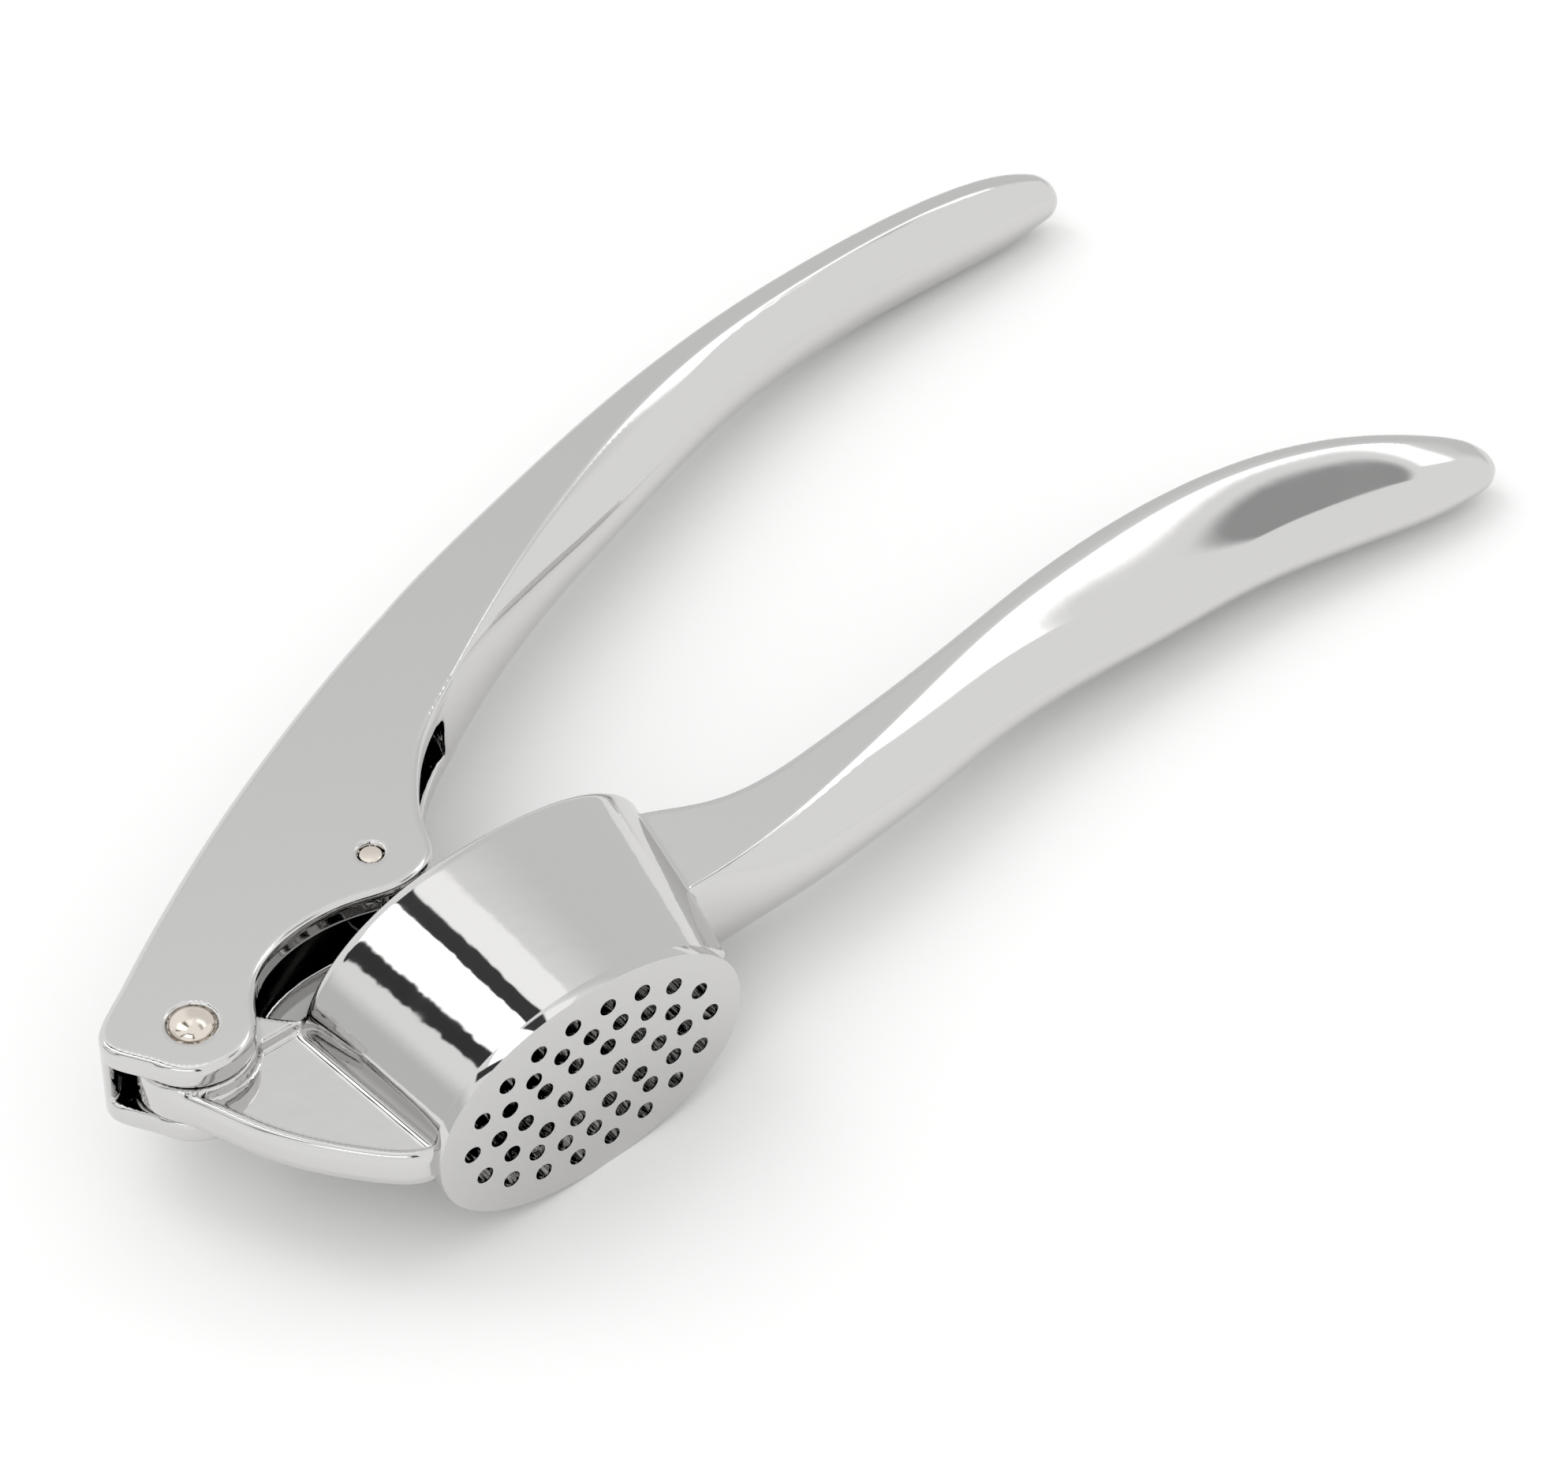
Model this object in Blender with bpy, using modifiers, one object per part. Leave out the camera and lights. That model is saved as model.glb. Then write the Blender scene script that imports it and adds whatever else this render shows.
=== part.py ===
"""Hand-held garlic press lying on its side: two die-cast levers, a hinged plunger and two riveted pins.

The pivot axis is vertical (+Z), the lower lever runs along +X and its sieve faces -Y.
Outlines are in millimetres from the pivot, in the mid-plane of the press, and are scaled to metres here.
"""

import math

import bmesh
import bpy
import numpy as np
from mathutils import Matrix, Vector

MM = 0.001

# placement: where the pivot axis crosses the mid-plane, measured from the middle of the box's underside
PIVOT_X = -83.024
PIVOT_Y = -12.727
PIVOT_Z = 14.5

# levers
LEVER_HALF = 5.9
SLOT_HALF = 2.95
BOSS_HALF = 2.65
BOSS_R = 7.05
WEB_HALF = 1.1
RIM_HALF = 2.4
RIM_WIDE = 1.4

# hopper
HOPPER_X = 31.4
MOUTH_LOW = -4.6
MOUTH_SLOPE = 0.05
FLANGE_FRONT = -30.0
FLANGE_BACK = -28.5
FLANGE_A = 20.6
FLANGE_B = 14.5
CHAMBER_FLOOR = -28.4
CHAMBER_A = 17.9
CHAMBER_B = 12.0
CHAMBER_MOUTH_A = 18.9
CHAMBER_MOUTH_B = 12.7

# faceted end of the hopper: a point on the facet, the way it faces, and the end wall at each height
FACET_POINT = (57.5, -6.7, 5.9)
FACET_FACING = (0.623, -0.156, 0.767)
END_WALL = ((-28.6, 50.9), (-18.7, 54.6), (-4.6, 58.2), (0.0, 59.5))

# sieve holes: half-sizes of each ring and how many holes it carries
HOLE_R = 1.08
HOLE_RINGS = (
    (16.34, 10.60, 18),
    (12.73, 7.38, 16),
    (9.13, 4.40, 10),
)
HOLE_ROW = (-3.77, 0.0, 3.77)

# main rivet
RIVET_R = 2.0
RIVET_HOLE_R = 2.08
RIVET_HEAD_R = 2.55
RIVET_SINK_R = 2.85
RIVET_SINK = 0.7
RIVET_DOME = 1.15

# plunger and its pin
PIN_X = 30.2
PIN_Y = 8.3
PIN_R = 1.3
PIN_HOLE_R = 1.37
PIN_SINK = 0.25
PIN_MOUTH_R = 1.6
PIN_MOUTH = 0.35
PLUNGER_DROP = 25.8
PLUNGER_SHIFT = -0.6
FOOT_A = 15.9
FOOT_B = 11.0
FOOT_THICK = 3.0
STEM_HALF = 2.5
RIB_HALF = 1.2
REST_TILT = 8.36

# handle stations: x, outer edge of the side strip, crease, bulge beyond the crease, half-width
LOWER_STATIONS = (
    (47.0, -4.6, -18.2, 0.6, 5.9),
    (58.0, -5.8, -18.5, 1.1, 5.9),
    (63.0, -8.75, -18.2, 2.2, 5.9),
    (70.0, -10.2, -17.2, 3.8, 5.9),
    (80.0, -9.45, -15.1, 5.2, 5.9),
    (90.0, -8.3, -12.6, 6.6, 5.9),
    (100.0, -6.9, -9.9, 7.7, 5.9),
    (107.0, -5.75, -8.25, 8.7, 5.9),
    (114.0, -4.6, -7.1, 9.8, 5.9),
    (121.0, -3.8, -6.3, 10.9, 5.9),
    (128.0, -3.4, -5.7, 11.8, 5.9),
    (137.0, -3.45, -5.6, 12.0, 5.9),
    (146.0, -4.5, -6.6, 12.0, 5.9),
    (153.0, -6.2, -8.3, 11.7, 5.85),
    (160.0, -9.0, -10.9, 10.6, 5.6),
    (166.0, -12.35, -14.0, 8.6, 5.0),
    (170.3, -15.0, -16.3, 6.5, 4.1),
    (173.6, -17.4, -18.2, 4.2, 2.9),
    (175.4, -19.0, -19.3, 1.8, 1.4),
)
UPPER_STATIONS = (
    (46.0, 34.6, 20.2, 0.3, 5.9),
    (50.0, 36.5, 22.4, 0.8, 5.9),
    (54.0, 38.3, 24.8, 1.3, 5.9),
    (61.0, 40.9, 29.1, 1.9, 5.9),
    (69.0, 43.4, 33.65, 2.9, 5.9),
    (78.0, 46.0, 38.35, 4.15, 5.9),
    (88.0, 48.8, 42.95, 5.5, 5.9),
    (94.0, 50.3, 45.4, 5.9, 5.9),
    (100.0, 51.65, 47.45, 5.9, 5.9),
    (107.0, 52.95, 49.4, 5.6, 5.9),
    (113.0, 53.9, 50.65, 5.2, 5.9),
    (120.0, 54.7, 51.65, 4.85, 5.9),
    (128.0, 55.25, 52.35, 4.55, 5.9),
    (139.0, 55.5, 52.8, 4.3, 5.9),
    (150.0, 55.0, 52.5, 4.2, 5.85),
    (156.0, 54.4, 52.1, 4.0, 5.5),
    (161.0, 53.65, 51.6, 3.6, 4.8),
    (164.5, 52.7, 51.1, 2.9, 3.8),
    (166.6, 51.7, 50.5, 1.8, 2.5),
    (167.6, 51.0, 50.3, 0.7, 1.1),
)

# handles: how far round the bulge's oval the crease lies, and how far along the lever shapes are evened out
CREASE_SHARE = 0.5
EVEN_PASSES = 100

OVAL_POINTS = 64
BORE_LENGTH = 16.0
SHARP_ANGLE = 28.0


def clear_scene():
    for obj in list(bpy.data.objects):
        bpy.data.objects.remove(obj, do_unlink=True)
    for group in list(bpy.data.collections):
        bpy.data.collections.remove(group)


def new_collection(name, hidden):
    group = bpy.data.collections.new(name)
    bpy.context.scene.collection.children.link(group)
    group.hide_render = hidden
    return group


def material(name, colour, metallic, roughness):
    mat = bpy.data.materials.new(name)
    mat.use_nodes = True
    shader = mat.node_tree.nodes["Principled BSDF"]
    shader.inputs["Base Color"].default_value = (*colour, 1.0)
    shader.inputs["Metallic"].default_value = metallic
    shader.inputs["Roughness"].default_value = roughness
    mat.diffuse_color = (*colour, 1.0)
    return mat


def mesh_object(name, verts, faces, group):
    mesh = bpy.data.meshes.new(name)
    mesh.from_pydata([Vector(v) * MM for v in verts], [], faces)
    mesh.validate()
    obj = bpy.data.objects.new(name, mesh)
    group.objects.link(obj)
    face_out(obj)
    return obj


def face_out(obj):
    shape = bmesh.new()
    shape.from_mesh(obj.data)
    bmesh.ops.remove_doubles(shape, verts=shape.verts, dist=0.00001)
    bmesh.ops.recalc_face_normals(shape, faces=shape.faces)
    shape.to_mesh(obj.data)
    shape.free()


def smooth_path(points, steps):
    """Catmull-Rom curve through the points, open at both ends."""
    pts = np.array(points, float)
    ends = np.vstack([2 * pts[0] - pts[1], pts, 2 * pts[-1] - pts[-2]])
    out = []
    for i in range(1, len(ends) - 2):
        p0, p1, p2, p3 = ends[i - 1 : i + 3]
        for k in range(steps):
            t = k / steps
            out.append(
                0.5
                * (
                    2 * p1
                    + (p2 - p0) * t
                    + (2 * p0 - 5 * p1 + 4 * p2 - p3) * t * t
                    + (3 * p1 - p0 - 3 * p2 + p3) * t**3
                )
            )
    out.append(pts[-1])
    return np.array(out)


def offset_path(path, distance):
    """The path moved sideways, to the left of its direction."""
    step = np.gradient(path, axis=0)
    step /= np.linalg.norm(step, axis=1)[:, None]
    return path + np.column_stack([-step[:, 1], step[:, 0]]) * distance


def arc(cx, cy, radius, start, end, count):
    angles = np.radians(np.linspace(start, end, count))
    return np.column_stack([cx + radius * np.cos(angles), cy + radius * np.sin(angles)])


def plate(name, outline, low, high, group):
    """A flat outline filled on both sides and extruded between two heights."""
    curve = bpy.data.curves.new(name, "CURVE")
    curve.dimensions = "2D"
    curve.fill_mode = "BOTH"
    curve.extrude = 0.5 * (high - low) * MM
    spline = curve.splines.new("POLY")
    spline.points.add(len(outline) - 1)
    for point, (x, y) in zip(spline.points, outline):
        point.co = (x * MM, y * MM, 0.0, 1.0)
    spline.use_cyclic_u = True
    obj = bpy.data.objects.new(name, curve)
    group.objects.link(obj)
    bpy.context.view_layer.update()
    mesh = bpy.data.meshes.new_from_object(obj)
    bpy.data.objects.remove(obj, do_unlink=True)
    for vert in mesh.vertices:
        vert.co.z += 0.5 * (low + high) * MM
    solid = bpy.data.objects.new(name, mesh)
    group.objects.link(solid)
    face_out(solid)
    return solid


def loft(name, rings, group):
    """A closed skin over rings of equal length, capped at both ends."""
    count = len(rings[0])
    verts = [tuple(p) for ring in rings for p in ring]
    faces = [tuple(range(count)), tuple(range(len(verts) - count, len(verts)))]
    for r in range(len(rings) - 1):
        for i in range(count):
            j = (i + 1) % count
            a = r * count
            b = a + count
            faces.append((a + i, a + j, b + j, b + i))
    return mesh_object(name, verts, faces, group)


def turned(name, x, y, profile, group, steps=28):
    """A solid turned about a vertical axis; the profile runs down its outer side as (radius, height)."""
    mesh = bpy.data.meshes.new(name)
    edges = [(i, i + 1) for i in range(len(profile) - 1)]
    mesh.from_pydata([(radius * MM, 0.0, height * MM) for radius, height in profile], edges, [])
    obj = bpy.data.objects.new(name, mesh)
    group.objects.link(obj)
    screw = obj.modifiers.new("turn", "SCREW")
    screw.axis = "Z"
    screw.angle = 2 * math.pi
    screw.steps = steps
    screw.render_steps = steps
    screw.use_merge_vertices = True
    screw.merge_threshold = 0.000001
    bpy.context.view_layer.update()
    obj.data = bpy.data.meshes.new_from_object(obj.evaluated_get(bpy.context.evaluated_depsgraph_get()))
    obj.modifiers.clear()
    obj.data.transform(Matrix.Translation((x * MM, y * MM, 0.0)))
    face_out(obj)
    return obj


def cylinder(name, places, radius, length, along_y, segments, group):
    """Equal cylinders about the given centres, standing up or lying along Y, in one object."""
    shape = bmesh.new()
    turn = Matrix.Rotation(math.pi / 2, 4, "X") if along_y else Matrix.Identity(4)
    for place in places:
        bmesh.ops.create_cone(
            shape,
            cap_ends=True,
            segments=segments,
            radius1=radius * MM,
            radius2=radius * MM,
            depth=length * MM,
            matrix=Matrix.Translation(Vector(place) * MM) @ turn,
        )
    mesh = bpy.data.meshes.new(name)
    shape.to_mesh(mesh)
    shape.free()
    obj = bpy.data.objects.new(name, mesh)
    group.objects.link(obj)
    return obj


def combine(obj, other, operation):
    """Join, cut or intersect with the exact solver and drop the second object."""
    mod = obj.modifiers.new("op", "BOOLEAN")
    mod.operation = operation
    mod.solver = "EXACT"
    mod.object = other
    bpy.context.view_layer.update()
    mesh = bpy.data.meshes.new_from_object(obj.evaluated_get(bpy.context.evaluated_depsgraph_get()))
    obj.modifiers.remove(mod)
    obj.data = mesh
    bpy.data.objects.remove(other, do_unlink=True)
    face_out(obj)
    return obj


def oval(centre, left, right, half, powers, count=OVAL_POINTS):
    """Flat oval in X and Z with its own half-length and fullness on the left and on the right."""
    points = []
    for i in range(count):
        a = 2 * math.pi * i / count
        c = math.cos(a)
        s = math.sin(a)
        reach = right if c > 0 else left
        power = powers[1] if c > 0 else powers[0]
        x = reach * math.copysign(abs(c) ** (2 / power), c)
        z = half * math.copysign(abs(s) ** (2 / power), s)
        points.append((centre + x, z))
    return points


def end_wall(y):
    heights, reaches = zip(*END_WALL)
    return float(np.interp(y, heights, reaches))


def facet_cut(x, y, z):
    """The point pulled in towards the hopper's axis until it lies inside the facets and the end wall."""
    facing = Vector(FACET_FACING)
    axis = Vector((HOPPER_X, y, 0.0))
    reach = Vector((x - HOPPER_X, 0.0, abs(z)))
    room = facing.dot(Vector(FACET_POINT) - axis)
    spread = facing.dot(reach)
    keep = 1.0
    if spread > room:
        keep = room / spread
    if reach.x * keep > end_wall(y) - HOPPER_X:
        keep = (end_wall(y) - HOPPER_X) / reach.x
    return (HOPPER_X + reach.x * keep, y, z * keep)


def mouth_y(x):
    return MOUTH_LOW + MOUTH_SLOPE * (x - 10.5)


def hopper_body(group):
    rings = []
    low = FLANGE_FRONT + 0.8
    for t in (0.0, 0.2, 0.4, 0.6, 0.8, 1.0):
        flat = oval(HOPPER_X, 19.3 + 1.6 * t, 21.6 + 6.6 * t, 13.3 + 0.9 * t, (2.0, 2.2))
        rings.append([facet_cut(x, low + (mouth_y(x) - low) * t, z) for x, z in flat])
    return loft("lower_lever", rings, group)


def flange(group):
    rings = []
    steps = ((FLANGE_FRONT, 0.45), (FLANGE_FRONT + 0.4, 0.0), (FLANGE_BACK - 0.3, 0.0), (FLANGE_BACK, 0.3))
    for y, inset in steps:
        flat = oval(HOPPER_X, FLANGE_A - inset, FLANGE_A - inset, FLANGE_B - inset, (2.1, 2.1))
        rings.append([(x, y, z) for x, z in flat])
    return loft("flange", rings, group)


def chamber(group):
    rings = []
    top = 2.0
    depth = mouth_y(HOPPER_X) - CHAMBER_FLOOR
    for y in (CHAMBER_FLOOR, mouth_y(HOPPER_X), top):
        t = (y - CHAMBER_FLOOR) / depth
        a = CHAMBER_A + (CHAMBER_MOUTH_A - CHAMBER_A) * t
        b = CHAMBER_B + (CHAMBER_MOUTH_B - CHAMBER_B) * t
        rings.append([(x, y, z) for x, z in oval(HOPPER_X, a, a, b, (2.0, 2.0))])
    return loft("chamber", rings, group)


def hole_centres():
    centres = [(x, 0.0) for x in HOLE_ROW]
    for a, b, count in HOLE_RINGS:
        fine = np.linspace(0.0, 2 * math.pi, 2001)
        xs = a * np.cos(fine)
        zs = b * np.sin(fine)
        run = np.concatenate([[0.0], np.cumsum(np.hypot(np.diff(xs), np.diff(zs)))])
        for i in range(count):
            t = np.interp(run[-1] * i / count, run, fine)
            centres.append((a * math.cos(t), b * math.sin(t)))
    return centres


def sieve_holes(group):
    low = FLANGE_FRONT - 1.0
    high = CHAMBER_FLOOR + 0.6
    places = [(HOPPER_X + x, 0.5 * (low + high), z) for x, z in hole_centres()]
    return cylinder("holes", places, HOLE_R, high - low, True, 14, group)


def arm_edge():
    """Outer edge of the arm, from the pivot boss round to the flange."""
    points = [(-6.6, -1.2), (-5.6, -4.6), (-4.1, -8.2), (-1.9, -13.9)]
    points += [(1.5, -19.9), (5.2, -24.6), (9.4, -28.3), (14.0, -29.6)]
    return smooth_path(points, 4)


def arm_outline():
    edge = arm_edge()
    inner = [(22.0, -29.6), (22.0, -6.0), (10.9, -4.4), (8.6, -1.6), (6.6, 1.2)]
    return np.vstack([edge, inner, arc(0, 0, 6.4, 30, 165, 10)])


def arm_rim(group):
    edge = arm_edge()
    inner = offset_path(edge, RIM_WIDE)
    return plate("rim", np.vstack([edge, inner[::-1]]), -RIM_HALF, RIM_HALF, group)


def arm_step(group):
    outline = [(3.0, -4.5), (11.8, -4.5), (10.9, -4.2), (8.6, -1.6), (6.4, 1.6), (3.0, 3.0)]
    return plate("step", outline, -RIM_HALF, RIM_HALF, group)


def evened(stations):
    """Handle shapes every half millimetre, with small unevenness between stations smoothed away."""
    rows = np.array(stations, float)
    places = np.arange(rows[0, 0], rows[-1, 0] + 0.25, 0.5)
    run = smooth_path(stations, 12)
    values = np.column_stack([np.interp(places, run[:, 0], run[:, i]) for i in range(1, 5)])
    free = np.minimum(places - places[0], places[-1] - places)
    hold = np.clip((free - 2.0) / 18.0, 0.0, 1.0)[1:-1, None]
    for _ in range(EVEN_PASSES):
        middle = 0.25 * values[:-2] + 0.5 * values[1:-1] + 0.25 * values[2:]
        values[1:-1] += hold * (middle - values[1:-1])
    return places, values


def handle(name, stations, group):
    """Bar with flat side strips, a crease along each and one rounded face; sections lie across the X axis."""
    places, values = evened(stations)
    tip = places[-1]
    picked = []
    for i, place in enumerate(places):
        gap = 6 if tip - place > 14.0 else (2 if tip - place > 3.0 else 1)
        if i == len(places) - 1 or not picked or i - picked[-1] >= gap:
            picked.append(i)
    start = math.asin(CREASE_SHARE)
    rings = []
    for i in picked:
        outer, crease, bulge, half = values[i]
        x = places[i]
        shift = CREASE_SHARE * bulge / (1 - CREASE_SHARE)
        ring = [(x, outer, half), (x, outer, 0.0), (x, outer, -half)]
        for a in np.linspace(start, math.pi - start, 15):
            y = crease + shift - (bulge + shift) * math.sin(a)
            ring.append((x, y, -half * math.cos(a) / math.cos(start)))
        rings.append(ring)
    return loft(name, rings, group)


def bore(name, x, y, radius, group):
    return cylinder(name, [(x, y, 0.0)], radius, BORE_LENGTH, False, 28, group)


def lower_lever(group, cutters, mat):
    body = hopper_body(group)
    combine(body, handle("handle", LOWER_STATIONS, cutters), "UNION")
    combine(body, flange(cutters), "UNION")
    combine(body, plate("web", arm_outline(), -WEB_HALF, WEB_HALF, cutters), "UNION")
    combine(body, arm_rim(cutters), "UNION")
    combine(body, arm_step(cutters), "UNION")
    boss = cylinder("boss", [(0.0, 0.0, 0.0)], BOSS_R, 2 * BOSS_HALF, False, 48, cutters)
    combine(body, boss, "UNION")
    combine(body, chamber(cutters), "DIFFERENCE")
    combine(body, sieve_holes(cutters), "DIFFERENCE")
    combine(body, bore("bore", 0.0, 0.0, RIVET_HOLE_R, cutters), "DIFFERENCE")
    finish_node(body, mat, 0.0, 0.0)
    return body


def upper_outline():
    """Side outline of the upper lever's head, up to where the handle takes over."""
    lobe = arc(0, 0, 7.0, 204, 332, 16)
    notch = [(6.2, -3.3), (8.2, -0.3), (11.3, 2.2), (16.2, 3.8), (21.0, 4.0), (25.0, 3.3), (29.0, 2.2)]
    notch += [(32.3, 2.3), (35.3, 3.8), (37.8, 8.6), (40.9, 13.7), (44.7, 18.0), (49.0, 21.3), (54.0, 24.4)]
    back = [(54.0, 38.3), (46.7, 35.5), (37.3, 31.5), (27.3, 26.8), (17.8, 21.9), (8.9, 16.8), (0.4, 11.5)]
    back += [(-4.2, 8.5), (-7.7, 6.2), (-9.1, 4.6), (-9.4, 3.0), (-8.2, 0.2), (-6.7, -2.2)]
    return np.vstack([lobe, smooth_path(notch, 3)[1:], smooth_path(back, 3)])


def slot_outline():
    """The gap between the cheeks: open on the inner side, closed by the outer wall."""
    wall = [(-12.0, 3.6), (-7.9, 3.6), (-7.0, 4.7), (-4.9, 6.3), (-1.6, 7.8), (6.6, 11.5), (18.4, 18.9)]
    wall += [(31.8, 26.3), (42.0, 30.6), (47.5, 31.4), (50.6, 29.2), (51.6, 25.8), (50.4, 22.0), (46.5, 17.0)]
    return np.vstack([smooth_path(wall, 3), [(52.0, 5.0), (40.0, -12.0), (-14.0, -12.0)]])


def sink(name, x, y, radius, depth, group):
    """A round recess in both side faces of the upper lever."""
    length = 4.0
    height = LEVER_HALF - depth + 0.5 * length
    places = [(x, y, height), (x, y, -height)]
    return cylinder(name, places, radius, length, False, 28, group)


def upper_lever(group, cutters, mat):
    body = plate("upper_lever", upper_outline(), -LEVER_HALF, LEVER_HALF, group)
    combine(body, handle("handle", UPPER_STATIONS, cutters), "UNION")
    combine(body, plate("slot", slot_outline(), -SLOT_HALF, SLOT_HALF, cutters), "DIFFERENCE")
    combine(body, bore("bore", 0.0, 0.0, RIVET_HOLE_R, cutters), "DIFFERENCE")
    combine(body, sink("sink", 0.0, 0.0, RIVET_SINK_R, RIVET_SINK, cutters), "DIFFERENCE")
    combine(body, bore("hole", PIN_X, PIN_Y, PIN_HOLE_R, cutters), "DIFFERENCE")
    combine(body, sink("mouth", PIN_X, PIN_Y, PIN_MOUTH_R, PIN_MOUTH, cutters), "DIFFERENCE")
    finish_node(body, mat, 0.0, 0.0)
    return body


def main_rivet(group, mat):
    seat = LEVER_HALF - RIVET_SINK + 0.05
    rim = seat + 0.35
    half = []
    for a in (90, 74, 58, 42, 26, 12, 0):
        angle = math.radians(a)
        half.append((RIVET_HEAD_R * math.cos(angle), rim + RIVET_DOME * math.sin(angle)))
    half[0] = (0.0, rim + RIVET_DOME)
    half += [(RIVET_HEAD_R, seat), (RIVET_R, seat)]
    profile = half + [(radius, -height) for radius, height in reversed(half)]
    body = turned("main_rivet", 0.0, 0.0, profile, group)
    finish_node(body, mat, 0.0, 0.0)
    return body


def plunger_pin(group, mat):
    top = LEVER_HALF - PIN_SINK
    chamfer = 0.2
    half = [(0.0, top), (PIN_R - chamfer, top), (PIN_R, top - chamfer)]
    profile = half + [(radius, -height) for radius, height in reversed(half)]
    body = turned("plunger_pin", PIN_X, PIN_Y, profile, group, 24)
    finish_node(body, mat, PIN_X, PIN_Y)
    return body


def plunger(group, cutters, mat):
    """Oval foot on a flat stem with a bored boss, hanging from its pin and tilted to the rest pose."""
    low = PIN_Y - PLUNGER_DROP
    centre = PIN_X + PLUNGER_SHIFT
    rings = []
    for lift, inset in ((0.0, 0.4), (0.4, 0.0), (FOOT_THICK - 0.6, 0.0), (FOOT_THICK, 0.6)):
        flat = oval(centre, FOOT_A - inset, FOOT_A - inset, FOOT_B - inset, (2.0, 2.0), 40)
        rings.append([(x, low + lift, z) for x, z in flat])
    body = loft("plunger", rings, group)
    foot_top = low + FOOT_THICK - 0.5
    waist = low + 9.0
    head = arc(PIN_X, PIN_Y, 3.4, 10, 170, 12)
    left = [(PIN_X - 3.4, PIN_Y - 2.0), (centre - 4.2, waist), (centre - 11.5, foot_top)]
    right = [(centre + 11.5, foot_top), (centre + 4.2, waist), (PIN_X + 3.4, PIN_Y - 2.0)]
    combine(body, plate("stem", np.vstack([head, left, right]), -STEM_HALF, STEM_HALF, cutters), "UNION")
    for side in (1, -1):
        wedge = []
        for y, reach in ((foot_top, 8.0), (waist, 2.4)):
            corners = ((-RIB_HALF, 0.0), (RIB_HALF, 0.0), (RIB_HALF, side * reach), (-RIB_HALF, side * reach))
            wedge.append([(centre + x, y, z) for x, z in corners])
        combine(body, loft("rib", wedge, cutters), "UNION")
    combine(body, bore("hole", PIN_X, PIN_Y, PIN_HOLE_R, cutters), "DIFFERENCE")
    angle = math.radians(REST_TILT)
    for vert in body.data.vertices:
        x = vert.co.x - PIN_X * MM
        y = vert.co.y - PIN_Y * MM
        vert.co.x = PIN_X * MM + x * math.cos(angle) - y * math.sin(angle)
        vert.co.y = PIN_Y * MM + x * math.sin(angle) + y * math.cos(angle)
    finish_node(body, mat, PIN_X, PIN_Y)
    return body


def finish_node(obj, mat, axis_x, axis_y):
    """Move the origin onto the joint axis, put the node in place and shade it."""
    for vert in obj.data.vertices:
        vert.co.x -= axis_x * MM
        vert.co.y -= axis_y * MM
    obj.location = ((PIVOT_X + axis_x) * MM, (PIVOT_Y + axis_y) * MM, PIVOT_Z * MM)
    obj.data.materials.clear()
    obj.data.materials.append(mat)
    obj.data.shade_smooth()
    obj.data.set_sharp_from_angle(angle=math.radians(SHARP_ANGLE))


def main():
    clear_scene()
    group = new_collection("garlic_press", False)
    cutters = new_collection("cutters", True)
    chrome = (0.78, 0.78, 0.77)
    lower_lever(group, cutters, material("lower_chrome", chrome, 1.0, 0.12))
    upper_lever(group, cutters, material("upper_chrome", chrome, 1.0, 0.12))
    plunger(group, cutters, material("plunger_chrome", chrome, 1.0, 0.18))
    main_rivet(group, material("rivet_steel", (0.68, 0.64, 0.58), 1.0, 0.2))
    plunger_pin(group, material("pin_steel", (0.66, 0.62, 0.56), 1.0, 0.3))


main()
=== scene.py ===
"""Looks for the garlic press: bright chrome levers, a steel rivet and pin, on a pale studio floor.

The levers and the plunger are die castings with soft edges. Each is described here as a solid field, in
millimetres from the pivot in the press's own plane, and its skin is laid on that field.
"""

import math

import bmesh
import bpy
import numpy as np
from mathutils import Matrix, Vector


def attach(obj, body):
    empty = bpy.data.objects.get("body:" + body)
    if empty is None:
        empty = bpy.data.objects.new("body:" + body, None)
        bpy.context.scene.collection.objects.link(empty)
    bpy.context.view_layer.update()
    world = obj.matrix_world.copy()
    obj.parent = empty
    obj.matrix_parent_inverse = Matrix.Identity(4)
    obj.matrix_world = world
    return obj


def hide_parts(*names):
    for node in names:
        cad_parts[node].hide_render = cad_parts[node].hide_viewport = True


MM = 0.001
PIVOT = (-83.024, -12.727, 14.5)

# skins: voxel size, how slopes are probed, and how points are moved onto a solid
VOXEL = 0.4
PROBE = 0.25
SETTLE_ROUNDS = 4
LONGEST_STEP = 0.3
LEAST_SLOPE2 = 0.1
SMALL = 1e-9

# outlines: grid of distances, its margin, and how many places are worked out at once
GRID = 0.25
GRID_MARGIN = 2.5
GRID_BATCH = 20000

# plated surface: scale of the waviness, its depth on the hopper and elsewhere, and where it calms down
WAVE_SCALE = 330.0
WAVE_DEPTH = 0.11
SMOOTH_WAVE = 0.012
WAVE_END_X = 59.0
WAVE_FADE = 4.0
CHROME = (0.635, 0.63, 0.625)
CHROME_ROUGH = (0.03, 0.09)
STEEL = (0.74, 0.68, 0.61)
STEEL_ROUGH = (0.12, 0.20)
STEEL_SCALE = 260.0
STEEL_DEPTH = 0.02
SMUDGE_SCALE = 90.0
SMUDGE_RANGE = (0.45, 0.75)
BUMP_HEIGHT = 0.0002

# levers
LEVER_HALF = 5.9
SLOT_HALF = 2.95
BOSS_HALF = 2.65
BOSS_R = 7.05
WEB_HALF = 1.1
RIM_HALF = 2.4
RIM_WIDE = 1.4
HEAD_R = 7.0
WEB_R = 6.4

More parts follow.
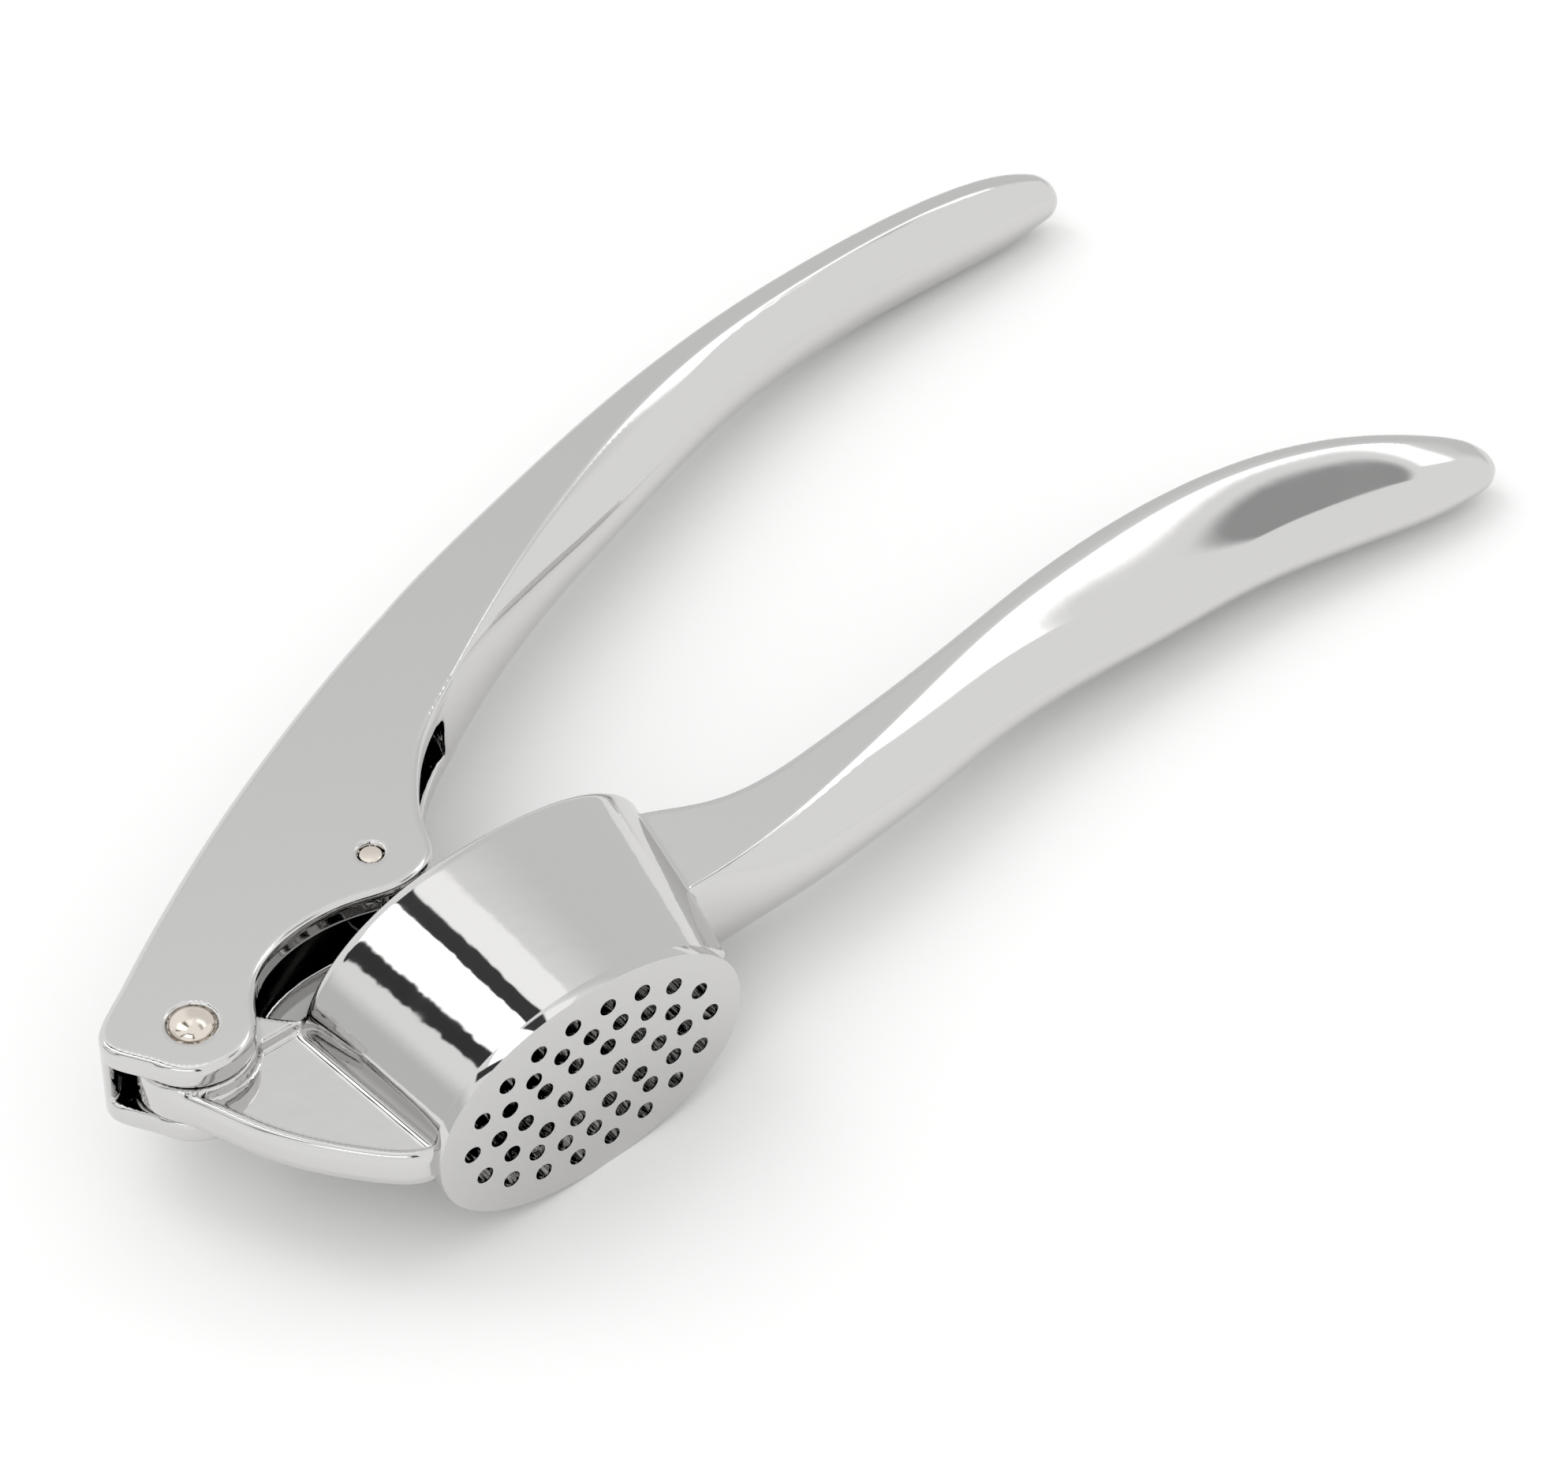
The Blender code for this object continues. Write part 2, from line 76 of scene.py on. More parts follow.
# hopper
HOPPER_X = 31.4
MOUTH_LOW = -4.6
MOUTH_X = 10.5
MOUTH_SLOPE = 0.05
FLANGE_FRONT = -30.0
FLANGE_BACK = -28.5
FLANGE_A = 20.6
FLANGE_B = 14.5
FLANGE_POWER = 2.1
FLANGE_ROUND = 0.4
HOPPER_LOW = FLANGE_FRONT + 0.8
# half-lengths and half-width of the hopper wall at the flange, and what the mouth adds to each
HOPPER_LEFT = (19.3, 1.6)
HOPPER_RIGHT = (21.6, 6.6)
HOPPER_HALF = (13.3, 0.9)
HOPPER_POWERS = (2.0, 2.2)
CHAMBER_FLOOR = -28.4
CHAMBER_A = 17.9
CHAMBER_B = 12.0
CHAMBER_MOUTH_A = 18.9
CHAMBER_MOUTH_B = 12.7
# where the CAD copy is cut for the sieve plate, and how far the casting then reaches into that plate
TRIM_Y = -28.25
CASTING_FRONT = -28.8
TRIM_BLOCK = (100.0, 20.0, 60.0)
HOLE_R = 1.08
HOLE_RINGS = ((16.34, 10.60, 18), (12.73, 7.38, 16), (9.13, 4.40, 10))
HOLE_ROW = (-3.77, 0.0, 3.77)

# rivet, pin and plunger
RIVET_R = 2.0
RIVET_HOLE_R = 2.08
RIVET_HEAD_R = 2.55
RIVET_SINK_R = 2.85
RIVET_SINK = 0.7
RIVET_DOME = 1.15
RIVET_SEAT = LEVER_HALF - RIVET_SINK + 0.05
RIVET_RIM = RIVET_SEAT + 0.35
PIN_X = 30.2
PIN_Y = 8.3
PIN_R = 1.3
PIN_HOLE_R = 1.37
PIN_SINK = 0.25
PIN_MOUTH_R = 1.6
PIN_MOUTH = 0.35
PIN_ROUND = 0.2
PLUNGER_DROP = 25.8
PLUNGER_SHIFT = -0.6
FOOT_A = 15.9
FOOT_B = 11.0
FOOT_THICK = 3.0
STEM_HALF = 2.5
STEM_HEAD_R = 3.4
STEM_WAIST = 9.0
STEM_WAIST_HALF = 4.2
STEM_FOOT_HALF = 11.5
RIB_HALF = 1.2
RIB_RISE = 6.5
RIB_REACH = (8.0, 2.4)
REST_TILT = 8.36

# faceted end of the hopper: a point on the facet, the way it faces, and the end wall at each height
FACET_POINT = (57.5, -6.7, 5.9)
FACET_FACING = (0.623, -0.156, 0.767)
END_WALL = ((-28.6, 50.9), (-18.7, 54.6), (-4.6, 58.2), (0.0, 59.5))

# handles: how far round the bulge's oval the crease lies, and how shapes are evened out along the lever
CREASE_SHARE = 0.5
EVEN_GAP = 0.5
EVEN_PASSES = 100
EVEN_START = 2.0
EVEN_RUN = 18.0

# turned pieces and bevels
TURN_STEPS = 96
MERGE = 0.000001
TURN_SHARP = 40
ROUND_FROM = 40

# handle stations: x, outer edge of the side strip, crease, bulge beyond the crease, half-width
LOWER_STATIONS = (
    (47.0, -4.6, -18.2, 0.6, 5.9),
    (58.0, -5.8, -18.5, 1.1, 5.9),
    (63.0, -8.75, -18.2, 2.2, 5.9),
    (70.0, -10.2, -17.2, 3.8, 5.9),
    (80.0, -9.45, -15.1, 5.2, 5.9),
    (90.0, -8.3, -12.6, 6.6, 5.9),
    (100.0, -6.9, -9.9, 7.7, 5.9),
    (107.0, -5.75, -8.25, 8.7, 5.9),
    (114.0, -4.6, -7.1, 9.8, 5.9),
    (121.0, -3.8, -6.3, 10.9, 5.9),
    (128.0, -3.4, -5.7, 11.8, 5.9),
    (137.0, -3.45, -5.6, 12.0, 5.9),
    (146.0, -4.5, -6.6, 12.0, 5.9),
    (153.0, -6.2, -8.3, 11.7, 5.85),
    (160.0, -9.0, -10.9, 10.6, 5.6),
    (166.0, -12.35, -14.0, 8.6, 5.0),
    (170.3, -15.0, -16.3, 6.5, 4.1),
    (173.6, -17.4, -18.2, 4.2, 2.9),
    (175.4, -19.0, -19.3, 1.8, 1.4),
)
UPPER_STATIONS = (
    (46.0, 34.6, 20.2, 0.3, 5.9),
    (50.0, 36.5, 22.4, 0.8, 5.9),
    (54.0, 38.3, 24.8, 1.3, 5.9),
    (61.0, 40.9, 29.1, 1.9, 5.9),
    (69.0, 43.4, 33.65, 2.9, 5.9),
    (78.0, 46.0, 38.35, 4.15, 5.9),
    (88.0, 48.8, 42.95, 5.5, 5.9),
    (94.0, 50.3, 45.4, 5.9, 5.9),
    (100.0, 51.65, 47.45, 5.9, 5.9),
    (107.0, 52.95, 49.4, 5.6, 5.9),
    (113.0, 53.9, 50.65, 5.2, 5.9),
    (120.0, 54.7, 51.65, 4.85, 5.9),
    (128.0, 55.25, 52.35, 4.55, 5.9),
    (139.0, 55.5, 52.8, 4.3, 5.9),
    (150.0, 55.0, 52.5, 4.2, 5.85),
    (156.0, 54.4, 52.1, 4.0, 5.5),
    (161.0, 53.65, 51.6, 3.6, 4.8),
    (164.5, 52.7, 51.1, 2.9, 3.8),
    (166.6, 51.7, 50.5, 1.8, 2.5),
    (167.6, 51.0, 50.3, 0.7, 1.1),
)

# floor, in metres: it lies 0.1 mm under the line through the flange's lowest point and rises to the handles,
# which sink into it near their tips, the lower one by 0.5 mm and the upper one by 0.1 mm
FLOOR_TOUCH_X = -0.0516
FLOOR_SLOPE = 0.0738
FLOOR_GAP = 0.0001
FLOOR_HALF = 3.0

# camera: place in millimetres from the pivot, the columns of its rotation, and its lens
CAMERA_FROM_PIVOT = (-233.421, -386.482, 501.294)
CAMERA_RIGHT = (0.7740662, -0.6331047, 0.0)
CAMERA_UP = (0.4499007, 0.5500716, 0.7035699)
CAMERA_BACK = (-0.4454334, -0.5446096, 0.7106261)
CAMERA_LENS = 141.6253
CAMERA_SENSOR = 36.0


# ---------------------------------------------------------------- curves and outlines


def cubic(knots, values, at):
    """Natural cubic spline through rows of values, read at the given places."""
    count = len(knots)
    gap = np.diff(knots)
    slope = np.diff(values, axis=0) / gap[:, None]
    system = np.eye(count)
    right = np.zeros_like(values)
    for i in range(1, count - 1):
        system[i, i - 1 : i + 2] = (gap[i - 1], 2 * (gap[i - 1] + gap[i]), gap[i])
        right[i] = 6 * (slope[i] - slope[i - 1])
    bend = np.linalg.solve(system, right)
    i = np.clip(np.searchsorted(knots, at) - 1, 0, count - 2)
    t = (at - knots[i])[:, None]
    width = gap[i][:, None]
    start = slope[i] - width * (2 * bend[i] + bend[i + 1]) / 6
    return values[i] + t * start + t**2 * bend[i] / 2 + t**3 * (bend[i + 1] - bend[i]) / (6 * width)


def smooth_path(points, spacing=0.5):
    """Smooth open path through the points, in steps of about the spacing."""
    points = np.array(points, float)
    run = np.concatenate([[0.0], np.cumsum(np.linalg.norm(np.diff(points, axis=0), axis=1))])
    places = np.linspace(0.0, run[-1], max(int(run[-1] / spacing), 2) + 1)
    return cubic(run, points, places)


def offset_path(path, distance):
    """The path moved sideways, to the left of its direction."""
    step = np.gradient(path, axis=0)
    step /= np.linalg.norm(step, axis=1)[:, None]
    return path + np.column_stack([-step[:, 1], step[:, 0]]) * distance


def arc(cx, cy, radius, start, end, count):
    angles = np.radians(np.linspace(start, end, count))
    return np.column_stack([cx + radius * np.cos(angles), cy + radius * np.sin(angles)])


def polygon_distance(places, outline):
    """Signed distance in the plane, negative inside."""
    start = outline
    side = np.roll(outline, -1, axis=0) - start
    length2 = np.maximum((side**2).sum(1), 1e-12)
    out = np.empty(len(places))
    for first in range(0, len(places), GRID_BATCH):
        batch = slice(first, first + GRID_BATCH)
        x = places[batch, 0][:, None] - start[None, :, 0]
        y = places[batch, 1][:, None] - start[None, :, 1]
        t = np.clip((x * side[:, 0] + y * side[:, 1]) / length2, 0.0, 1.0)
        far = np.sqrt(((x - t * side[:, 0]) ** 2 + (y - t * side[:, 1]) ** 2).min(1))
        crosses = (y < 0) != (y - side[:, 1] < 0)
        rise = np.where(side[:, 1] == 0, 1.0, side[:, 1])
        left = x < y / rise * side[:, 0]
        inside = (crosses & left).sum(1) % 2 == 1
        out[batch] = np.where(inside, -far, far)
    return out


class Outline:
    """A closed outline in the press's plane, kept as a grid of distances."""

    def __init__(self, outline):
        outline = np.array(outline, float)
        self.low = outline.min(0) - GRID_MARGIN
        self.count = np.ceil((outline.max(0) + GRID_MARGIN - self.low) / GRID).astype(int) + 1
        xs = self.low[0] + GRID * np.arange(self.count[0])
        ys = self.low[1] + GRID * np.arange(self.count[1])
        places = np.stack(np.meshgrid(xs, ys, indexing="ij"), -1).reshape(-1, 2)
        self.values = polygon_distance(places, outline).reshape(self.count)

    def at(self, x, y):
        u = (x - self.low[0]) / GRID
        v = (y - self.low[1]) / GRID
        cu = np.clip(u, 0, self.count[0] - 1.001)
        cv = np.clip(v, 0, self.count[1] - 1.001)
        i = cu.astype(int)
        j = cv.astype(int)
        s = cu - i
        t = cv - j
        low = self.values[i, j] * (1 - s) + self.values[i + 1, j] * s
        high = self.values[i, j + 1] * (1 - s) + self.values[i + 1, j + 1] * s
        outside = np.hypot(u - cu, v - cv) * GRID
        return low * (1 - t) + high * t + outside


# ---------------------------------------------------------------- solid fields


def blend_max(a, b, soft):
    """The overlap of two solids, its edge rounded over a width of soft."""
    return np.maximum(a, b) + 0.25 * soft * np.maximum(1 - np.abs(a - b) / soft, 0) ** 2


def blend_min(a, b, soft):
    """The two solids joined, with a fillet of width soft."""
    return -blend_max(-a, -b, soft)


def oval_distance(x, z, a, b, power):
    """Distance from an oval of half-sizes a and b, nearly exact close to its edge."""
    u = np.maximum(np.abs(x) / a, 1e-6)
    v = np.maximum(np.abs(z) / b, 1e-6)
    size = (u**power + v**power) ** (1 / power)
    slope = np.hypot((u / size) ** (power - 1) / a, (v / size) ** (power - 1) / b)
    return (size - 1) / slope


def mouth_y(x):
    return MOUTH_LOW + MOUTH_SLOPE * (x - MOUTH_X)


def station_table(stations):
    """Handle shapes every half millimetre, with small unevenness between stations smoothed away."""
    rows = np.array(stations, float)
    places = np.arange(rows[0, 0], rows[-1, 0] + 0.5 * EVEN_GAP, EVEN_GAP)
    values = cubic(rows[:, 0], rows[:, 1:], places)
    free = np.minimum(places - places[0], places[-1] - places)
    hold = np.clip((free - EVEN_START) / EVEN_RUN, 0.0, 1.0)[1:-1, None]
    for _ in range(EVEN_PASSES):
        middle = 0.25 * values[:-2] + 0.5 * values[1:-1] + 0.25 * values[2:]
        values[1:-1] += hold * (middle - values[1:-1])
    fine = np.linspace(places[0], places[-1], 4 * len(places))
    return fine, cubic(places, values, fine)


def handle_solid(x, y, z, table):
    """Bar with flat side strips, a crease along each and a rounded face between the creases."""
    places, values = table
    outer, crease, bulge, half = (np.interp(x, places, values[:, i]) for i in range(4))
    bulge = np.maximum(bulge, 0.2)
    shift = CREASE_SHARE * bulge / (1 - CREASE_SHARE)
    depth = bulge + shift
    width = half / math.sqrt(1 - CREASE_SHARE**2)
    u = np.maximum((crease + shift - y) / depth, 1e-6)
    v = np.maximum(np.abs(z) / width, 1e-6)
    size = np.hypot(u, v)
    slope = np.hypot(u / size / depth, v / size / width)
    solid = blend_max((size - 1) / slope, np.abs(z) - half, 0.12)
    solid = blend_max(solid, y - outer, 0.8)
    solid = blend_max(solid, x - places[-1], 0.8)
    return np.maximum(solid, places[0] - x)


def facet(x, y, z, point, facing):
    """Distance outside a sloping flat and its mirror image below the mid-plane."""
    return (x - point[0]) * facing[0] + (y - point[1]) * facing[1] + (np.abs(z) - point[2]) * facing[2]


def hopper_solid(x, y, z):
    """The tapered hopper wall with its faceted right end, filled in."""
    t = np.clip((y - HOPPER_LOW) / (mouth_y(x) - HOPPER_LOW), 0, 1)
    side = x - HOPPER_X
    right = side > 0
    reach = np.where(right, HOPPER_RIGHT[0] + HOPPER_RIGHT[1] * t, HOPPER_LEFT[0] + HOPPER_LEFT[1] * t)
    power = np.where(right, HOPPER_POWERS[1], HOPPER_POWERS[0])
    wall = oval_distance(side, z, reach, HOPPER_HALF[0] + HOPPER_HALF[1] * t, power)
    heights, reaches = zip(*END_WALL)
    wall = blend_max(wall, facet(x, y, z, FACET_POINT, FACET_FACING), 0.5)
    wall = blend_max(wall, x - np.interp(y, heights, reaches), 0.4)
    solid = blend_max(wall, y - mouth_y(x), 1.6)
    return np.maximum(solid, HOPPER_LOW - y)


def chamber_solid(x, y, z):
    """The bore of the hopper, open at both ends; the sieve closes it below."""
    depth = mouth_y(HOPPER_X) - CHAMBER_FLOOR
    t = np.clip((y - CHAMBER_FLOOR) / depth, 0, 1)
    a = CHAMBER_A + (CHAMBER_MOUTH_A - CHAMBER_A) * t
    b = CHAMBER_B + (CHAMBER_MOUTH_B - CHAMBER_B) * t
    return oval_distance(x - HOPPER_X, z, a, b, 2.0)


def hole_centres():
    """Places of the sieve holes, measured from the hopper's axis."""
    centres = [(x, 0.0) for x in HOLE_ROW]
    fine = np.linspace(0.0, 2 * math.pi, 2001)
    for a, b, count in HOLE_RINGS:
        xs = a * np.cos(fine)
        zs = b * np.sin(fine)
        run = np.concatenate([[0.0], np.cumsum(np.hypot(np.diff(xs), np.diff(zs)))])
        for i in range(count):
            t = np.interp(run[-1] * i / count, run, fine)
            centres.append((a * math.cos(t), b * math.sin(t)))
    return np.array(centres)


def arm_edge():
    """Outer edge of the arm, from the pivot boss round to the flange."""
    points = [(-6.6, -1.2), (-5.6, -4.6), (-4.1, -8.2), (-1.9, -13.9)]
    points += [(1.5, -19.9), (5.2, -24.6), (9.4, -28.3), (14.0, -29.6)]
    return smooth_path(points)


def slab(outline, x, y, z, half, soft):
    """The outline's solid between two flats at equal heights above and below the mid-plane."""
    return blend_max(outline.at(x, y), np.abs(z) - half, soft)


def lower_field():
    edge = arm_edge()
    inner = [(22.0, -29.6), (22.0, -6.0), (10.9, -4.4), (8.6, -1.6), (6.6, 1.2)]
    web = Outline(np.vstack([edge, inner, arc(0, 0, WEB_R, 30, 165, 24)]))
    rim = Outline(np.vstack([edge, offset_path(edge, RIM_WIDE)[::-1]]))
    step = Outline([(3.0, -4.5), (11.8, -4.5), (10.9, -4.2), (8.6, -1.6), (6.4, 1.6), (3.0, 3.0)])
    table = station_table(LOWER_STATIONS)

    def field(p):
        x, y, z = p.T
        solid = blend_min(hopper_solid(x, y, z), handle_solid(x, y, z, table), 0.3)
        arm = blend_min(slab(web, x, y, z, WEB_HALF, 0.3), slab(rim, x, y, z, RIM_HALF, 0.7), 0.7)
        arm = blend_min(arm, slab(step, x, y, z, RIM_HALF, 0.5), 0.5)
        boss = blend_max(np.hypot(x, y) - BOSS_R, np.abs(z) - BOSS_HALF, 0.5)
        arm = blend_min(arm, boss, 0.4)
        solid = blend_min(solid, arm, 0.9)
        solid = blend_max(solid, -chamber_solid(x, y, z), 0.8)
        solid = np.maximum(solid, CASTING_FRONT - y)
        return blend_max(solid, RIVET_HOLE_R - np.hypot(x, y), 0.2)

    return field


def upper_field():
    notch = [(6.2, -3.3), (8.2, -0.3), (11.3, 2.2), (16.2, 3.8), (21.0, 4.0), (25.0, 3.3), (29.0, 2.2)]
    notch += [(32.3, 2.3), (35.3, 3.8), (37.8, 8.6), (40.9, 13.7), (44.7, 18.0), (49.0, 21.3), (54.0, 24.4)]
    back = [(54.0, 38.3), (46.7, 35.5), (37.3, 31.5), (27.3, 26.8), (17.8, 21.9), (8.9, 16.8), (0.4, 11.5)]
    back += [(-4.2, 8.5), (-7.7, 6.2), (-9.1, 4.6), (-9.4, 3.0), (-8.2, 0.2), (-6.7, -2.2)]
    wall = [(-12.0, 3.6), (-7.9, 3.6), (-7.0, 4.7), (-4.9, 6.3), (-1.6, 7.8), (6.6, 11.5), (18.4, 18.9)]
    wall += [(31.8, 26.3), (42.0, 30.6), (47.5, 31.4), (50.6, 29.2), (51.6, 25.8), (50.4, 22.0), (46.5, 17.0)]
    head = Outline(np.vstack([arc(0, 0, HEAD_R, 204, 332, 40), smooth_path(notch)[1:], smooth_path(back)]))
    slot = Outline(np.vstack([smooth_path(wall), [(52.0, 5.0), (40.0, -12.0), (-14.0, -12.0)]]))
    table = station_table(UPPER_STATIONS)

    def field(p):
        x, y, z = p.T
        solid = slab(head, x, y, z, LEVER_HALF, 0.8)
        solid = np.minimum(solid, handle_solid(x, y, z, table))
        solid = blend_max(solid, -slab(slot, x, y, z, SLOT_HALF, 0.6), 0.6)
        middle = np.hypot(x, y)
        solid = blend_max(solid, RIVET_HOLE_R - middle, 0.2)
        sink = np.maximum(middle - RIVET_SINK_R, LEVER_HALF - RIVET_SINK - np.abs(z))
        solid = blend_max(solid, -sink, 0.25)
        far = np.hypot(x - PIN_X, y - PIN_Y)
        mouth = np.maximum(far - PIN_MOUTH_R, LEVER_HALF - PIN_MOUTH - np.abs(z))
        solid = blend_max(solid, -mouth, 0.15)
        return blend_max(solid, PIN_HOLE_R - far, 0.15)

    return field


def plunger_field():
    low = PIN_Y - PLUNGER_DROP
    centre = PIN_X + PLUNGER_SHIFT
    foot_top = low + FOOT_THICK - 0.5
    waist = low + STEM_WAIST
    head = arc(PIN_X, PIN_Y, STEM_HEAD_R, 10, 170, 30)
    neck = PIN_Y - 2.0
    left = [(PIN_X - STEM_HEAD_R, neck), (centre - STEM_WAIST_HALF, waist)]
    left += [(centre - STEM_FOOT_HALF, foot_top)]
    right = [(centre + STEM_FOOT_HALF, foot_top), (centre + STEM_WAIST_HALF, waist)]
    right += [(PIN_X + STEM_HEAD_R, neck)]
    stem = Outline(np.vstack([head, left, right]))
    turn = math.radians(-REST_TILT)

    def field(p):
        dx = p[:, 0] - PIN_X
        dy = p[:, 1] - PIN_Y
        x = PIN_X + dx * math.cos(turn) - dy * math.sin(turn)
        y = PIN_Y + dx * math.sin(turn) + dy * math.cos(turn)
        z = p[:, 2]
        thick = np.abs(y - low - 0.5 * FOOT_THICK) - 0.5 * FOOT_THICK
        foot = blend_max(oval_distance(x - centre, z, FOOT_A, FOOT_B, 2.0), thick, 0.9)
        lift = y - low - FOOT_THICK + 0.5
        reach = RIB_REACH[0] - (RIB_REACH[0] - RIB_REACH[1]) * np.clip(lift / RIB_RISE, 0, 1)
        rib = blend_max(np.abs(x - centre) - RIB_HALF, np.abs(z) - reach, 0.5)
        rib = np.maximum(rib, np.abs(lift - 0.5 * RIB_RISE) - 0.5 * RIB_RISE)
        solid = blend_min(foot, slab(stem, x, y, z, STEM_HALF, 0.7), 0.8)
        solid = blend_min(solid, rib, 0.6)
        return blend_max(solid, PIN_HOLE_R - np.hypot(x - PIN_X, y - PIN_Y), 0.2)

    return field


# ---------------------------------------------------------------- skins


def slope_of(points, field):
    """The field's slope at each point, by small steps to both sides."""
    out = np.empty_like(points)
    for axis in range(3):
        step = np.zeros(3)
        step[axis] = PROBE
        out[:, axis] = (field(points + step) - field(points - step)) / (2 * PROBE)
    return out


def settle(points, field):
    """Moves points onto the solid's surface and gives the surface's direction there."""
    for _ in range(SETTLE_ROUNDS):
        value = field(points)
        slope = slope_of(points, field)
        move = value / np.maximum((slope**2).sum(1), LEAST_SLOPE2)
        length = np.abs(move) * np.linalg.norm(slope, axis=1)
        move *= np.minimum(1.0, LONGEST_STEP / np.maximum(length, SMALL))
        points = points - slope * move[:, None]
    slope = slope_of(points, field)
    return points, slope / np.maximum(np.linalg.norm(slope, axis=1), SMALL)[:, None]


def baked(obj):
    """The object with its modifiers worked into its mesh."""
    bpy.context.view_layer.update()
    mesh = bpy.data.meshes.new_from_object(obj.evaluated_get(bpy.context.evaluated_depsgraph_get()))
    obj.modifiers.clear()
    obj.data = mesh
    return obj


def cut_away(obj, shape):
    """Takes the bmesh solid out of the object, and frees it."""
    mesh = bpy.data.meshes.new("cutter")
    shape.to_mesh(mesh)
    shape.free()
    cutter = bpy.data.objects.new("cutter", mesh)
    bpy.context.scene.collection.objects.link(cutter)
    cut = obj.modifiers.new("cut", "BOOLEAN")
    cut.operation = "DIFFERENCE"
    cut.solver = "EXACT"
    cut.object = cutter
    baked(obj)
    bpy.data.objects.remove(cutter, do_unlink=True)


def trim(obj):
    """Cuts away the front of the lower lever, where the sieve plate goes."""
    shape = bmesh.new()
    bmesh.ops.create_cube(shape, size=1.0)
    wide, depth, high = TRIM_BLOCK
    middle = Vector((PIVOT[0] + HOPPER_X, PIVOT[1] + TRIM_Y - 0.5 * depth, PIVOT[2])) * MM
    shape.transform(Matrix.Translation(middle) @ Matrix.Diagonal((wide * MM, depth * MM, high * MM, 1.0)))
    cut_away(obj, shape)


def skin(name, node, field):
    """A fine skin over the CAD node, laid on the solid's rounded surface."""
    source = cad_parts[node]
    obj = bpy.data.objects.new(name, source.data.copy())
    bpy.context.scene.collection.objects.link(obj)
    if node == "lower_lever":
        trim(obj)
    remesh = obj.modifiers.new("remesh", "REMESH")
    remesh.mode = "VOXEL"
    remesh.voxel_size = VOXEL * MM
    mesh = baked(obj).data
    place = np.empty(len(mesh.vertices) * 3)
    mesh.vertices.foreach_get("co", place)
    pivot = np.array(PIVOT)
    points, normals = settle(place.reshape(-1, 3) / MM - pivot, field)
    mesh.vertices.foreach_set("co", ((points + pivot) * MM).ravel())
    mesh.update()
    mesh.shade_smooth()
    mesh.normals_split_custom_set_from_vertices(normals.tolist())
    return obj


def rounded(obj, width, segments):
    """The object with its sharp edges rounded."""
    bevel = obj.modifiers.new("round", "BEVEL")
    bevel.width = width * MM
    bevel.segments = segments
    bevel.limit_method = "ANGLE"
    bevel.angle_limit = math.radians(ROUND_FROM)
    return baked(obj)


def flange_plate():
    """An oval plate without holes, standing on edge where the flange is."""
    fine = np.linspace(0, 2 * math.pi, 240, endpoint=False)
    c = np.cos(fine)
    s = np.sin(fine)
    xs = HOPPER_X + FLANGE_A * np.sign(c) * np.abs(c) ** (2 / FLANGE_POWER)
    zs = FLANGE_B * np.sign(s) * np.abs(s) ** (2 / FLANGE_POWER)
    curve = bpy.data.curves.new("sieve", "CURVE")
    curve.dimensions = "2D"
    curve.fill_mode = "BOTH"
    curve.extrude = 0.5 * (FLANGE_BACK - FLANGE_FRONT) * MM
    spline = curve.splines.new("POLY")
    spline.points.add(len(xs) - 1)
    for point, x, z in zip(spline.points, xs, zs):
        point.co = (x * MM, z * MM, 0.0, 1.0)
    spline.use_cyclic_u = True
    flat = bpy.data.objects.new("sieve", curve)
    bpy.context.scene.collection.objects.link(flat)
    bpy.context.view_layer.update()
    mesh = bpy.data.meshes.new_from_object(flat)
    bpy.data.objects.remove(flat, do_unlink=True)
    shape = bmesh.new()
    shape.from_mesh(mesh)
    bmesh.ops.remove_doubles(shape, verts=shape.verts, dist=MERGE)
    middle = Vector((PIVOT[0], PIVOT[1] + 0.5 * (FLANGE_FRONT + FLANGE_BACK), PIVOT[2])) * MM
    shape.transform(Matrix.Translation(middle) @ Matrix.Rotation(math.pi / 2, 4, "X"))
    bmesh.ops.recalc_face_normals(shape, faces=shape.faces)
    shape.to_mesh(mesh)
    shape.free()
    plate = bpy.data.objects.new("sieve_plate", mesh)
    bpy.context.scene.collection.objects.link(plate)
    return rounded(plate, FLANGE_ROUND, 5)


def sieve():
    """The flange plate with its round holes, in place of the front of the lower casting."""
    plate = flange_plate()
    drill = bmesh.new()
    for x, z in hole_centres():
        place = Vector((PIVOT[0] + HOPPER_X + x, PIVOT[1] + FLANGE_FRONT, PIVOT[2] + z)) * MM
        bmesh.ops.create_cone(
            drill,
            cap_ends=True,
            segments=40,
            radius1=HOLE_R * MM,
            radius2=HOLE_R * MM,
            depth=6 * MM,
            matrix=Matrix.Translation(place) @ Matrix.Rotation(math.pi / 2, 4, "X"),
        )
    cut_away(plate, drill)
    plate.data.shade_smooth()
    border_sharp(plate)
    return plate


def border_sharp(obj):
    """Marks the edges where the flat faces meet the rounded ones, so that each is shaded on its own."""
    shape = bmesh.new()
    shape.from_mesh(obj.data)
    for edge in shape.edges:
        flat = [abs(face.normal.y) > 0.9995 for face in edge.link_faces]
        edge.smooth = all(flat) or not any(flat)
    shape.to_mesh(obj.data)
    shape.free()


